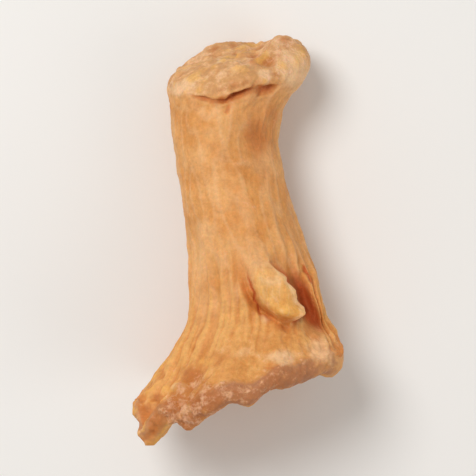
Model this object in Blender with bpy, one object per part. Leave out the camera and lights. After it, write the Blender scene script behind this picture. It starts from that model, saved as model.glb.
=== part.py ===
"""A chanterelle mushroom, lying on its side as it does on a table.

The mushroom grew as one piece, so it is one closed body: a stout stem with its cut foot,
the forked folds that run from the stem up under the cap, the wavy margin and the
funnel-shaped cap. The foot points to +Y and the cap to -Y. The side that looks up to +Z
has a torn flap of folds with a deep crevice beside it. Three low spots carry the
mushroom: one under the foot and two under the cap's margin.

A fine sphere is the starting mesh. Its longitude becomes the angle round the stem, and its
latitude the way along a half section, from the middle of the foot to the middle of the
cap's hollow. Functions then give the place of each vertex.
"""

import math
import random

import bmesh
import bpy
import numpy as np
from mathutils import Vector, noise

MM = 0.001

NODE = "chanterelle"
COLLECTION = "chanterelle mushroom"
FLESH_COLOUR = (0.71, 0.33, 0.11, 1.0)
FLESH_ROUGHNESS = 0.62

# Sides and rows of the mesh before it is thinned out, and the triangles that are kept.
SIDES = 300
ROWS = 190
TRIANGLES = 11400

# Place of the foot's tip along Y. Distances from the foot are measured from here, towards -Y.
FOOT_TIP = 30.0

# Half section in millimetres, as distance from the foot's tip and radius.
FOOT_FACE = [(0.9, 0.0), (0.5, 4.5), (0.5, 7.8), (0.8, 9.5)]
FOOT_LIP = [(1.5, 10.4), (2.4, 10.8), (3.5, 10.7), (4.6, 10.1), (6.4, 9.3)]
STEM = [(10.0, 8.85), (15.0, 8.6), (20.0, 8.6), (25.0, 8.7), (30.0, 8.9), (35.0, 9.1)]
UNDERSIDE = [(39.5, 9.5), (43.0, 10.3), (46.0, 11.6), (48.8, 13.6), (50.6, 15.2)]
MARGIN = [(51.6, 16.5), (52.6, 16.9), (53.7, 16.8), (54.6, 16.2), (55.0, 15.2)]
HOLLOW = [(54.6, 13.6), (52.8, 11.0), (50.2, 8.0), (48.2, 4.6), (47.4, 2.0), (47.2, 0.0)]
HALF_SECTION = FOOT_FACE + FOOT_LIP + STEM + UNDERSIDE + MARGIN + HOLLOW

# The middle line, by distance from the foot's tip: sideways, and its height over the table.
MIDDLE_SIDEWAYS = [
    (-2, 0.5), (3, 0.2), (8, -1.2), (12, -1.6), (20, -0.5), (26, 0.8), (32, 2.1),
    (38, 2.8), (43, 2.8), (48, 1.7), (54, 0.5), (62, 0.3),
]
MIDDLE_HEIGHT = [(-4, 8.4), (10, 9.2), (25, 11.3), (40, 13.4), (52, 14.4), (64, 14.6)]

# Height of a cross section over its width.
FLATNESS = [(0, 0.88), (10, 0.93), (30, 0.95), (46, 0.92), (60, 0.90)]

# The foot was cut askew: how much further from its tip it ends, for each millimetre up and
# to the left.
FOOT_SLANT_UP = 0.37
FOOT_SLANT_LEFT = 0.20
FOOT_SLANT_END = 16.0

# On the cut face, as place across and height over its middle, with a half width and a
# height: a round knob at its right end, a dent beside it, and soft swellings and dents.
FOOT_BUMPS = [
    (7.6, 1.0, 3.0, 2.0), (4.2, 0.8, 1.3, -1.9), (3.6, -3.0, 1.5, -1.1), (3.4, -6.6, 1.9, -1.5),
    (-3.5, 2.5, 3.6, 1.0), (-0.5, 6.5, 2.4, 0.8), (-6.5, -3.0, 3.0, -0.6), (5.6, 6.0, 1.5, -0.9),
    (-2.5, -6.0, 3.2, 1.0),
]
# Under the lip, on the upper side, a deep crease: its distance from the foot's tip, its
# half width and its depth, its span in degrees, and its waves as in MARGIN_WAVES.
CREASE = (4.5, 0.60, 1.8)
CREASE_SPAN = (38.0, 50.0, 102.0, 132.0)
CREASE_WAVES = [(5, 0.35, 20.0), (13, 0.18, 0.0)]
# A shallow hollow on the stem's upper side: (across, distance), half widths and depth.
STEM_HOLLOW = (4.3, 13.5, 3.6, 6.5, 1.0)

# By degrees round the stem (0 to the right, 90 up, 270 down on the table): how far the
# margin reaches past its mean place, and its width over its mean width.
MARGIN_REACH = [
    (0, -3.0), (22, -3.0), (43, -2.4), (57, -1.3), (72, -0.4), (90, 1.0), (106, 3.2),
    (118, 4.9), (132, 4.5), (142, 5.6), (151, 8.2), (161, 5.2), (174, 4.4), (192, 4.0),
    (210, 2.2), (232, -0.6), (252, 0.3), (272, 0.2), (294, -1.6), (316, -2.2), (338, -3.6),
]
MARGIN_WIDTH = [
    (0, 0.97), (22, 1.00), (48, 0.96), (76, 1.01), (104, 1.04), (128, 0.97), (150, 1.04),
    (170, 1.00), (190, 1.02), (212, 0.95), (238, 1.16), (268, 0.91), (300, 1.14),
    (326, 0.95), (344, 1.00),
]
MARGIN_STARTS = 33.0
MARGIN_ENDS = 50.0
# Small waves of the margin: how many go round, their height and where they start.
MARGIN_WAVES = [(7, 0.45, 20.0), (11, 0.40, 75.0), (17, 0.28, 140.0)]

# The folds: how many leave the stem, where they start, fork and end, and their size. They
# drift sideways in lumps of the given sizes, by up to the given degrees.
FOLD_COUNT = 27
FOLD_STARTS = (21.0, 31.0)
FOLD_FORKS = (34.0, 45.0)
FOLD_FORK_LENGTH = 8.0
FOLD_FULL_AFTER = 11.0
FOLD_END = 51.8
FOLD_HEIGHT = 1.0
FOLD_HALF_WIDTHS = (0.50, 0.74)
FOLD_DRIFT = ((8.0, 3.4), (3.0, 1.5))
FOLD_SEED = 7

# The torn flap on the upper side: its crest and root as places across, and its share of
# the full height, by distance from the foot's tip. Then its height, how far it leans over,
# the widths of its slope and its wall, the height and spacing of the teeth on its edge, and
# the depth of the groove along its root.
FLAP_CREST = [(29, 3.0), (33, 5.2), (36, 7.0), (39, 8.1), (41.5, 8.9), (43.6, 8.6), (46, 8.4)]
FLAP_ROOT = [(29, 0.8), (34, 1.3), (37.4, 1.7), (40, 2.7), (42.6, 4.2), (46, 6.2)]
FLAP_SIZE = [(29.5, 0.0), (33, 0.3), (36.5, 0.85), (40, 1.0), (42.8, 0.95), (44.2, 0.0), (46, 0.0)]
FLAP_HEIGHT = 3.1
FLAP_LEAN = 1.7
FLAP_SLOPE = 2.4
FLAP_WALL = 0.8
FLAP_TEETH = (0.3, 2.7)
FLAP_GROOVE = 1.0
# The crevice beside the flap, its place across and its depth.
CREVICE = [(32, 7.0), (35, 9.0), (37.8, 10.5), (40.4, 11.6), (43, 12.7), (44.8, 13.9), (48, 17.5)]
CREVICE_DEPTH = [
    (32, 0.0), (35, 1.4), (37.8, 3.2), (40.4, 4.0), (43.0, 3.8), (45.2, 1.6), (47, 0.0), (48, 0.0),
]
CREVICE_HALF_WIDTH = 1.55
# Round the flap the folds fade, as degrees, distance from the foot's tip, half widths of
# both and share. The flank beside it and the foot's lip swell, with heights.
FLAP_CLEARING = (44.0, 39.5, 20.0, 5.0, 0.85)
SWELLINGS = [(8, 39, 30, 7, 1.2), (10, 4.6, 34, 3.2, 1.9), (176, 6.4, 34, 2.4, 0.6)]

# The table plane cuts this much off the three lowest spots, so they rest on small flats.
SEAT_DEPTH = 0.45


def ease(low, high, value):
    """Rise smoothly from 0 at low to 1 at high."""
    share = np.clip((value - low) / (high - low), 0.0, 1.0)
    return share * share * (3.0 - 2.0 * share)


def hump(value, middle, half_width):
    """A bell of height 1 round the middle."""
    return np.exp(-((value - middle) / half_width) ** 2)


def read_curve(points, place, period=None):
    """Read a smooth curve through (place, value) points, which may repeat after a period."""
    at = np.array([point[0] for point in points], dtype=float)
    value = np.array([point[1] for point in points], dtype=float)
    if period:
        at = np.concatenate((at[-2:] - period, at, at[:2] + period))
        value = np.concatenate((value[-2:], value, value[:2]))
        place = np.mod(place, period)
    slope = np.gradient(value, at)
    place = np.clip(place, at[0], at[-1])
    k = np.clip(np.searchsorted(at, place) - 1, 0, len(at) - 2)
    span = at[k + 1] - at[k]
    t = (place - at[k]) / span
    return (
        (1 + 2 * t) * (1 - t) ** 2 * value[k]
        + t * (1 - t) ** 2 * span * slope[k]
        + t * t * (3 - 2 * t) * value[k + 1]
        + t * t * (t - 1) * span * slope[k + 1]
    )


def lumps(points, size, seed):
    """Smooth noise between about -1 and 1, in lumps of the given size."""
    shift = Vector((seed * 17.3, seed * 5.9, seed * 11.1))
    return np.array([noise.noise(Vector(point) / size + shift) for point in points])


def half_section(share):
    """Distance from the foot, radius and outward direction at a share of the half section."""
    points = np.array(HALF_SECTION)
    steps = np.hypot(*np.diff(points, axis=0).T)
    places = np.concatenate(((0.0,), np.cumsum(steps))) / steps.sum()
    distance_curve = list(zip(places, points[:, 0]))
    radius_curve = list(zip(places, points[:, 1]))
    distance = read_curve(distance_curve, share)
    radius = read_curve(radius_curve, share)
    step = 0.004
    rise = read_curve(distance_curve, share + step) - read_curve(distance_curve, share - step)
    spread = read_curve(radius_curve, share + step) - read_curve(radius_curve, share - step)
    length = np.maximum(np.hypot(rise, spread), 1e-9)
    margin_share = places[len(FOOT_FACE + FOOT_LIP + STEM + UNDERSIDE)]
    return distance, radius, -spread / length, rise / length, share > margin_share


def arc_from(degrees, middle, radius):
    """Distance along the arc from a direction."""
    off = np.mod(degrees - middle + 180.0, 360.0) - 180.0
    return np.radians(off) * radius


def patch(degrees, distance, middle, half_widths):
    """A soft patch round a direction and a distance from the foot's tip."""
    turned = arc_from(degrees, middle[0], 180.0 / math.pi)
    return hump(np.hypot(turned / half_widths[0], (distance - middle[1]) / half_widths[1]), 0.0, 1.0)


def fold_relief(degrees, distance, radius):
    """Height of the forked folds, from 0 between them to 1 on a full crest."""
    draw = random.Random(FOLD_SEED)
    relief = np.zeros_like(distance)
    pitch = 360.0 / FOLD_COUNT
    for number in range(FOLD_COUNT):
        middle = (number + draw.uniform(-0.32, 0.32)) * pitch
        start = draw.uniform(*FOLD_STARTS)
        fork = draw.uniform(*FOLD_FORKS)
        bend = draw.uniform(-3.0, 3.0)
        strength = draw.uniform(0.6, 1.0)
        half_width = draw.uniform(*FOLD_HALF_WIDTHS)
        opening = ease(fork, fork + FOLD_FORK_LENGTH, distance) * pitch / 4
        wander = bend * np.sin((distance - start) * 0.16)
        full = ease(start, start + FOLD_FULL_AFTER, distance) * ease(FOLD_END, FOLD_END - 3.0, distance)
        for side in (-1, 1):
            across = arc_from(degrees, middle + wander + side * opening, radius)
            relief = np.maximum(relief, strength * full * hump(across, 0.0, half_width))
    return relief


def shape_foot(x, z, distance, on_face):
    """Tilt the cut foot and give its face its lobe, dent and swellings."""
    for across, height, half_width, out in FOOT_BUMPS:
        distance = distance - on_face * out * hump(np.hypot(x - across, z - height), 0.0, half_width)
    slanted = ease(FOOT_SLANT_END, 0.0, distance)
    return distance + slanted * (FOOT_SLANT_UP * z - FOOT_SLANT_LEFT * x)


def shape_flap(x, z, distance, upper):
    """Raise the torn flap, lean it over to the right and sink the crevice beside it."""
    tooth, spacing = FLAP_TEETH
    crest = read_curve(FLAP_CREST, distance) + tooth * np.sin(math.tau * distance / spacing)
    root = read_curve(FLAP_ROOT, distance)
    size = read_curve(FLAP_SIZE, distance) * upper
    slope = ease(root, root + FLAP_SLOPE, x)
    wall = ease(crest + FLAP_WALL, crest, x)
    lift = size * slope * wall
    groove = size * FLAP_GROOVE * hump(x, root, 0.8)
    crevice = read_curve(CREVICE_DEPTH, distance) * upper
    crevice = crevice * hump(x, read_curve(CREVICE, distance), CREVICE_HALF_WIDTH)
    return x + FLAP_LEAN * lift ** 2, z + FLAP_HEIGHT * lift - groove - crevice


def mushroom_points(degrees, share):
    """Places of the surface, in metres, by the angle and the share of the half section."""
    distance, radius, out_along, out_across, past_margin = half_section(share)
    angle = np.radians(degrees)
    sideways, upward = np.cos(angle), np.sin(angle)

    # The wavy margin: full at the edge, gone at the stem and in the middle of the hollow.
    # round_distance stays the distance on the round form.
    under = ease(MARGIN_STARTS, MARGIN_ENDS, distance)
    margin = np.where(past_margin, ease(2.0, 15.5, radius) ** 1.3, under)
    round_distance = distance
    reach = read_curve(MARGIN_REACH, degrees, 360.0)
    for count, height, start in MARGIN_WAVES:
        reach = reach + height * np.sin(np.radians(count * (degrees - start)))
    distance = distance + margin * reach
    radius = radius * (1.0 + margin * (read_curve(MARGIN_WIDTH, degrees, 360.0) - 1.0))

    # A stem that isn't quite round, and soft lumps all over.
    on_stem = ease(2.0, 8.0, round_distance) * (1.0 - margin)
    radius = radius * (1.0 + on_stem * 0.02 * np.cos(3 * angle + round_distance * 0.05))
    rough = np.column_stack((radius * sideways, distance, radius * upward))
    out = 0.45 * lumps(rough, 9.0, 1) + 0.28 * lumps(rough, 5.0, 7) + 0.16 * lumps(rough, 3.2, 2)

    # Forked folds under the cap and down the stem, lower on the worn upper side, and
    # faded round the flap.
    worn = 1.0 - ease(0.2, 0.9, upward) * (0.42 + 0.30 * ease(40.0, 49.0, round_distance))
    drifted = degrees
    for seed, (size, drift) in enumerate(FOLD_DRIFT, start=11):
        drifted = drifted + drift * lumps(rough, size, seed)
    folds = np.where(past_margin, 0.0, fold_relief(drifted, round_distance, radius))
    at_degrees, at_distance, half_degrees, half_distance, faded = FLAP_CLEARING
    folds = folds * (1.0 - faded * patch(
        degrees, round_distance, (at_degrees, at_distance), (half_degrees, half_distance),
    ))
    out = out + FOLD_HEIGHT * worn * (folds - 0.35 * under)
    for at_degrees, at_distance, half_degrees, half_distance, height in SWELLINGS:
        out = out + height * ~past_margin * patch(
            degrees, round_distance, (at_degrees, at_distance), (half_degrees, half_distance),
        )

    # The crease under the foot's lip.
    crease_at, crease_width, crease_depth = CREASE
    from_out, from_in, to_in, to_out = CREASE_SPAN
    wrapped = np.mod(degrees, 360.0)
    in_span = ease(from_out, from_in, wrapped) * ease(to_out, to_in, wrapped)
    for count, height, start in CREASE_WAVES:
        crease_at = crease_at + height * np.sin(np.radians(count * (degrees - start)))
    out = out - crease_depth * in_span * hump(round_distance, crease_at, crease_width)

    distance = distance + out * out_along
    radius = radius + out * out_across
    x = read_curve(MIDDLE_SIDEWAYS, distance) + radius * sideways
    z = radius * upward * read_curve(FLATNESS, distance)
    middle_height = read_curve(MIDDLE_HEIGHT, distance)
    distance = shape_foot(x, z, distance, ease(4.2, 2.2, round_distance))
    z = z + middle_height
    upper = ease(0.1, 0.4, upward) * ~past_margin
    across, along, half_across, half_along, depth = STEM_HOLLOW
    z = z - depth * upper * hump(x, across, half_across) * hump(distance, along, half_along)
    x, z = shape_flap(x, z, distance, upper)
    return np.column_stack((x, FOOT_TIP - distance, z)) * MM


def make_material():
    """Warm orange-yellow flesh."""
    material = bpy.data.materials.new("chanterelle flesh")
    material.use_nodes = True
    shader = material.node_tree.nodes["Principled BSDF"]
    shader.inputs["Base Color"].default_value = FLESH_COLOUR
    shader.inputs["Roughness"].default_value = FLESH_ROUGHNESS
    shader.inputs["Metallic"].default_value = 0.0
    return material


def make_mushroom(collection):
    """Shape the sphere into the mushroom and thin its mesh out."""
    grid = bmesh.new()
    bmesh.ops.create_uvsphere(grid, u_segments=SIDES, v_segments=ROWS, radius=1.0)
    mesh = bpy.data.meshes.new(NODE)
    grid.to_mesh(mesh)
    grid.free()

    sphere = np.empty(len(mesh.vertices) * 3)
    mesh.vertices.foreach_get("co", sphere)
    x, y, z = sphere.reshape(-1, 3).T
    degrees = np.degrees(np.arctan2(-y, x))
    share = np.arccos(np.clip(z, -1.0, 1.0)) / math.pi
    points = mushroom_points(degrees, share)
    low, high = points.min(axis=0), points.max(axis=0)
    points = points - (*(low + high)[:2] / 2, low[2] + SEAT_DEPTH * MM)
    mesh.vertices.foreach_set("co", points.ravel())
    mesh.update()

    mesh.shade_smooth()
    mesh.materials.append(make_material())
    mushroom = bpy.data.objects.new(NODE, mesh)
    collection.objects.link(mushroom)
    thinning = mushroom.modifiers.new("fewer triangles", "DECIMATE")
    thinning.ratio = TRIANGLES / (2 * SIDES * (ROWS - 1))
    return mushroom


def seat_on_table(mushroom):
    """Cut the lowest spots off level, so that the mushroom rests on three small flats."""
    size = 0.2
    bpy.ops.mesh.primitive_cube_add(size=size, location=(0.0, 0.0, -size / 2))
    table = bpy.context.object
    table.name = "table cut"
    table.hide_render = True
    table.display_type = "WIRE"
    cutters = bpy.data.collections.new("cutters")
    bpy.context.scene.collection.children.link(cutters)
    for collection in list(table.users_collection):
        collection.objects.unlink(table)
    cutters.objects.link(table)
    seat = mushroom.modifiers.new("seat", "BOOLEAN")
    seat.operation = "DIFFERENCE"
    seat.solver = "EXACT"
    seat.object = table


def main():
    for old in list(bpy.data.objects):
        bpy.data.objects.remove(old, do_unlink=True)
    collection = bpy.data.collections.new(COLLECTION)
    bpy.context.scene.collection.children.link(collection)
    seat_on_table(make_mushroom(collection))


main()
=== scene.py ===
"""Finishes the chanterelle mushroom and sets it on a pale table.

The visible mushroom is a finer mesh of the same form as the plain solid, with more folds,
veins, fibres and pits, and with the natural colours of its flesh, its bruises and the
frost on it, and painted shade in its crevice, cracks, crease, folds and hollows and
painted highlights on some lit edges. Lengths in the tables are in millimetres.
"""
import math
import random
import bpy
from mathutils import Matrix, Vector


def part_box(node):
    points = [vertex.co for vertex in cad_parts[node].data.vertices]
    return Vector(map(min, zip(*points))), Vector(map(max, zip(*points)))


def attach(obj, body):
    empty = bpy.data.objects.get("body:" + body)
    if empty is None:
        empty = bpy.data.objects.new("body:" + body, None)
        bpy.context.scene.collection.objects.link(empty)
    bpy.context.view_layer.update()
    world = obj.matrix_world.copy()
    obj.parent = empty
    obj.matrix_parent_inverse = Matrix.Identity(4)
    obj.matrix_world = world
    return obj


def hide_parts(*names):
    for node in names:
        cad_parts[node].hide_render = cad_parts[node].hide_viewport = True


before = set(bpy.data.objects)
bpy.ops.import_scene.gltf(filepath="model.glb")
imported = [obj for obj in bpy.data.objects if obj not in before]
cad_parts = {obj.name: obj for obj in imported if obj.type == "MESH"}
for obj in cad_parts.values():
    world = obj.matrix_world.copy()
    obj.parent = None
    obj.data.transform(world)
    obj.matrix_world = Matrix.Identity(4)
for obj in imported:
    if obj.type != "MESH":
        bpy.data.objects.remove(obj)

from types import SimpleNamespace

import bpy
import numpy as np
from bpy.props import FloatProperty, FloatVectorProperty, IntProperty, PointerProperty
from mathutils import Vector, noise

bl_info = {
    "name": "Chanterelle mushroom",
    "version": (1, 0, 0),
    "blender": (4, 5, 0),
    "location": "3D View > Sidebar > Chanterelle",
    "description": "Models and finishes a chanterelle mushroom lying on a table",
    "category": "Add Mesh",
}

MM = 0.001
NODE = "chanterelle"
BODY = "root"
SOLID_LOW, SOLID_HIGH = (Vector(corner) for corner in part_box(NODE))
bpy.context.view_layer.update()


# ------------------------------- form, as the solid has it but for the flap's root and teeth

# Place of the foot's tip along Y. Distances from the foot are measured from here, towards -Y.
FOOT_TIP = 30.0

# Half section in millimetres, as distance from the foot's tip and radius.
FOOT_FACE = [(0.9, 0.0), (0.5, 4.5), (0.5, 7.8), (0.8, 9.5)]
FOOT_LIP = [(1.5, 10.4), (2.4, 10.8), (3.5, 10.7), (4.6, 10.1), (6.4, 9.3)]
STEM = [(10.0, 8.85), (15.0, 8.6), (20.0, 8.6), (25.0, 8.7), (30.0, 8.9), (35.0, 9.1)]
UNDERSIDE = [(39.5, 9.5), (43.0, 10.3), (46.0, 11.6), (48.8, 13.6), (50.6, 15.2)]
MARGIN = [(51.6, 16.5), (52.6, 16.9), (53.7, 16.8), (54.6, 16.2), (55.0, 15.2)]
HOLLOW = [(54.6, 13.6), (52.8, 11.0), (50.2, 8.0), (48.2, 4.6), (47.4, 2.0), (47.2, 0.0)]
HALF_SECTION = FOOT_FACE + FOOT_LIP + STEM + UNDERSIDE + MARGIN + HOLLOW
SLOPE_STEP = 0.004

# The middle line, by distance from the foot's tip: sideways, and its height over the table.
MIDDLE_SIDEWAYS = [
    (-2, 0.5), (3, 0.2), (8, -1.2), (12, -1.6), (20, -0.5), (26, 0.8), (32, 2.1),
    (38, 2.8), (43, 2.8), (48, 1.7), (54, 0.5), (62, 0.3),
]
MIDDLE_HEIGHT = [(-4, 8.4), (10, 9.2), (25, 11.3), (40, 13.4), (52, 14.4), (64, 14.6)]
# Height of a cross section over its width.
FLATNESS = [(0, 0.88), (10, 0.93), (30, 0.95), (46, 0.92), (60, 0.90)]

# The foot was cut askew: how much further from its tip it ends, for each millimetre up and
# to the left. The face that the bumps shape ends between two distances.
FOOT_SLANT_UP = 0.37
FOOT_SLANT_LEFT = 0.20
FOOT_SLANT_END = 16.0
FOOT_FACE_ENDS = (4.2, 2.2)
# On the cut face, as place across and height over its middle, with a half width and a
# height: a round knob at its right end, a dent beside it, and soft swellings and dents.
FOOT_BUMPS = [
    (7.6, 1.0, 3.0, 2.0), (4.2, 0.8, 1.3, -1.9), (3.6, -3.0, 1.5, -1.1), (3.4, -6.6, 1.9, -1.5),
    (-3.5, 2.5, 3.6, 1.0), (-0.5, 6.5, 2.4, 0.8), (-6.5, -3.0, 3.0, -0.6), (5.6, 6.0, 1.5, -0.9),
    (-2.5, -6.0, 3.2, 1.0),
]
# Under the lip, on the upper side, a crease: its distance from the foot's tip, half width
# and depth, the four limits of its span in degrees, and its waves as in MARGIN_WAVES.
CREASE = (4.5, 0.60, 1.8)
CREASE_SPAN = (38.0, 50.0, 102.0, 132.0)
CREASE_WAVES = [(5, 0.35, 20.0), (13, 0.18, 0.0)]
# The stem begins between two distances and is a little three-cornered: share, corners, twist.
STEM_BEGINS = (2.0, 8.0)
STEM_CORNERS = (0.02, 3, 0.05)
# A shallow hollow on the stem's upper side: (across, distance), half widths and depth.
STEM_HOLLOW = (4.3, 13.5, 3.6, 6.5, 1.0)
UPPER_SIDE = (0.1, 0.4)
# Soft lumps all over, as height, size and seed.
BODY_LUMPS = [(0.45, 9.0, 1), (0.28, 5.0, 7), (0.16, 3.2, 2)]

# By degrees round the stem (0 to the right, 90 up, 270 down on the table): how far the
# margin reaches past its mean place, and its width over its mean width.
MARGIN_REACH = [
    (0, -3.0), (22, -3.0), (43, -2.4), (57, -1.3), (72, -0.4), (90, 1.0), (106, 3.2),
    (118, 4.9), (132, 4.5), (142, 5.6), (151, 8.2), (161, 5.2), (174, 4.4), (192, 4.0),
    (210, 2.2), (232, -0.6), (252, 0.3), (272, 0.2), (294, -1.6), (316, -2.2), (338, -3.6),
]
MARGIN_WIDTH = [
    (0, 0.97), (22, 1.00), (48, 0.96), (76, 1.01), (104, 1.04), (128, 0.97), (150, 1.04),
    (170, 1.00), (190, 1.02), (212, 0.95), (238, 1.16), (268, 0.91), (300, 1.14),
    (326, 0.95), (344, 1.00),
]
# It begins and is full at two distances, and dies away in the hollow between two radii.
MARGIN_STARTS = 33.0
MARGIN_ENDS = 50.0
MARGIN_IN_HOLLOW = (2.0, 15.5)
MARGIN_IN_HOLLOW_POWER = 1.3
# Small waves of the margin: how many go round, their height and where they start.
MARGIN_WAVES = [(7, 0.45, 20.0), (11, 0.40, 75.0), (17, 0.28, 140.0)]

# The folds: how many leave the stem, where they start, fork and end, and their size. Each is
# off its even place by up to a share of the pitch, bends by up to some degrees and has its own
# strength. They drift by degrees, in lumps of a size and seed. The flesh between them is lower
# by a share of their height.
FOLD_COUNT = 27
FOLD_STARTS = (21.0, 31.0)
FOLD_FORKS = (34.0, 45.0)
FOLD_FORK_LENGTH = 8.0
FOLD_FULL_AFTER = 11.0
FOLD_END = 51.8
FOLD_FADE = 3.0
FOLD_HALF_WIDTHS = (0.50, 0.74)
FOLD_JITTER = 0.32
FOLD_BEND = 3.0
FOLD_BEND_PACE = 0.16
FOLD_STRENGTHS = (0.6, 1.0)
FOLD_DRIFT = [(3.4, 8.0, 11), (1.5, 3.0, 12)]
FOLD_SEED = 7
FOLD_BED = 0.35
PLAIN_FOLD_HEIGHT = 1.0
# The upper side is worn: how squarely it looks up, and the share of the folds that is gone,
# which rises by a share between two distances.
WORN_UPWARD = (0.2, 0.9)
WORN_SHARE = (0.42, 0.30, 40.0, 49.0)

# The torn flap on the upper side: its crest and root as places across, and its share of
# the full height, by distance from the foot's tip. Then its height, how far it leans over and
# how far inside root and crest, the widths of its slope and its wall, the height and spacing of
# the teeth on its edge, and the depth and half width of the groove along its root. Its root
# lies further right than the plain solid's at the lower end, so it is narrower there, and its
# teeth are lower.
FLAP_CREST = [(29, 3.0), (33, 5.2), (36, 7.0), (39, 8.1), (41.5, 8.9), (43.6, 8.6), (46, 8.4)]
FLAP_ROOT = [(29, 0.8), (34, 1.2), (37.4, 1.7), (40, 3.0), (41.6, 4.5), (43.0, 6.5), (46, 9.0)]
FLAP_SIZE = [(29.5, 0.0), (33, 0.3), (36.5, 0.85), (40, 1.0), (42.8, 0.95), (44.2, 0.0), (46, 0.0)]
FLAP_HEIGHT = 3.1
FLAP_LEAN = 1.7
FLAP_LEAN_INSET = 0.5
FLAP_SLOPE = 2.4
FLAP_WALL = 0.8
FLAP_TEETH = (0.2, 2.7)
FLAP_GROOVE = 1.0
FLAP_GROOVE_HALF_WIDTH = 0.8
# The crevice beside the flap, its place across and its depth.
CREVICE = [(32, 7.0), (35, 9.0), (37.8, 10.5), (40.4, 11.6), (43, 12.7), (44.8, 13.9), (48, 17.5)]
CREVICE_DEPTH = [
    (32, 0.0), (35, 1.4), (37.8, 3.2), (40.4, 4.0), (43.0, 3.8), (45.2, 1.6), (47, 0.0), (48, 0.0),
]
# The crevice is coloured with painted shade by its depth over this one.
CREVICE_DEEPEST = 4.0
CREVICE_HALF_WIDTH = 1.55
# Round the flap the folds fade, as degrees, distance from the foot's tip, half widths of
# both and share. The flank beside it and the foot's lip swell, with heights.
FLAP_CLEARING = (44.0, 39.5, 20.0, 5.0, 0.85)
SWELLINGS = [(8, 39, 30, 7, 1.2), (10, 4.6, 34, 3.2, 1.9), (176, 6.4, 34, 2.4, 0.6)]

# ---------------------------------------------------------------- finer form, for looks only

# Short folds between the forks: how many, where they start and their width.
SHORT_FOLD_COUNT = 50
SHORT_FOLD_STARTS = (37.0, 46.0)
SHORT_FOLD_FULL_AFTER = 5.0
SHORT_FOLD_FADE = (0.6, 1.5)
SHORT_FOLD_HALF_WIDTH = 0.36
SHORT_FOLD_JITTER = 0.4
SHORT_FOLD_LEAN = 0.5
SHORT_FOLD_STRENGTHS = (0.35, 0.8)
SHORT_FOLD_SEED = 19

# The crease under the lip goes on to the left: its span, its lumps as height, size and seed,
# and its shifts from the tip, each reached between two directions. Its width and its depth
# are shares of the plain ones, which fall between two directions. Patches, as height, size
# and seed, are fainter or stronger than its mean strength.
FINE_CREASE_SPAN = (43.0, 55.0, 116.0, 140.0)
CREASE_LUMPS = [(0.34, 1.7, 10), (0.16, 0.7, 21)]
CREASE_SHIFTS = [(0.55, 93.0, 98.0), (-1.3, 96.0, 124.0)]
CREASE_WIDTH_SHARE = (1.45, -0.55, 84.0, 100.0)
CREASE_DEPTH_SHARE = (0.90, -0.50, 88.0, 104.0)
CREASE_PATCHES = (0.7, 1.9, 12)
CREASE_STRENGTH = 0.80

# Where the parts of the surface end, as limits of distance or of radius, and the raw band
# along the margin, as its middle and half width. The torn lobes lie between directions.
FACE_ENDS = (4.4, 2.4)
BAND = (53.3, 1.9)
BAND_BEGINS = (14.5, 16.0)
TOP_ENDS = (16.6, 14.6)
LEFT_LOBES = (100.0, 112.0, 170.0, 200.0)
LOBES_BEGIN = (43.0, 49.0)
RAYS_BEGIN = (2.0, 8.0)

# Ridges, as how much they are stretched along the stem, their size, sharpness and seed.
FIBRES = (0.13, 0.8, 2.0, 3)
VEINS = (0.55, 1.7, 2.2, 4)
WRINKLES = (0.28, 2.2, 2.6, 9)
# Lumps, as size and seed. The cap's rays are set close round it and long outward.
PITS = (1.1, 5)
GRIT = (0.55, 6)
KNOTS = (1.9, 18)
RAYS = (1.0, 16)
RAYS_ROUND = 5.5
RAYS_OUTWARD = 0.10

# The torn flap's edge, as lumps of height, size and seed that follow the edge.
FLAP_JAGS = [(0.50, 1.9, 13), (0.30, 0.8, 20)]
FLAP_JAGS_ACROSS = 0.3
# Beside the flap's crest, as how far past it and half width: its rim, the painted shade of the
# crevice under its overhang and the painted shadow in it, which begins between two distances.
FLAP_RIM = (-0.2, 0.9)
CREVICE_SHADE = (0.8, 1.4)
FLAP_SHADOW = (2.0, 0.9)
FLAP_SHADOW_BEGINS = (34.0, 37.0)

# Cracks in the upper side: beside the crevice, two nicks under the foot's lip, along the
# flap's root and above the raw band. Each has its ends as (across, distance from the foot's
# tip), its half width and its depth. They wander in lumps of height, size and seed.
CRACKS = [
    ((10.6, 33.6), (13.2, 38.2), 0.32, 0.7),
    ((-0.4, 7.8), (-1.6, 10.4), 0.38, 0.34),
    ((-2.9, 7.4), (-0.2, 8.3), 0.24, 0.35),
    ((1.8, 34.5), (4.8, 43.6), 0.24, 0.90),
    ((3.4, 50.6), (9.8, 50.2), 0.22, 0.35),
]
CRACK_WANDER = (0.34, 1.4, 14)
CRACK_ENDS = 0.3
# A crack's painted shade is its depth added to this least share, up to full.
CRACK_LEAST_SHADE = 0.25

# Blotches on the upper side, seen from above: place across and along the table, half
# widths, and strength. Pale pinkish ones, some of them painted highlights along lit edges of
# the rim and the cut foot, and orange-red ones, some of them painted shade under the flap's
# tip, under the crease, down the stem's shaded right edge and on the flare. Their edges
# wander in lumps of height, size and seed, and they begin between two heights over the table.
PALE_AND_HIGHLIGHT_SPOTS = [
    (-1.9, 12.4, 1.5, 0.8, 0.42), (1.0, 11.6, 1.8, 0.9, 0.42), (-6.8, 12.0, 1.8, 7.0, 0.25),
    (13.0, -17.8, 3.2, 2.6, 0.65), (7.0, -18.9, 3.4, 1.4, 0.8), (9.4, 27.0, 3.0, 4.0, 1.0),
    (-9.2, 24.4, 3.0, 1.4, 0.9), (0.6, -18.0, 4.0, 1.6, 0.45), (5.2, -6.6, 2.4, 1.3, 0.8),
    (4.5, -12.8, 1.5, 0.9, 0.65), (4.6, 26.4, 1.4, 1.0, 1.1), (-3.0, 28.5, 0.9, 0.8, 0.9),
    (10.2, 27.4, 0.9, 3.0, 0.9), (6.8, 31.6, 2.0, 0.8, 0.8),
]
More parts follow.
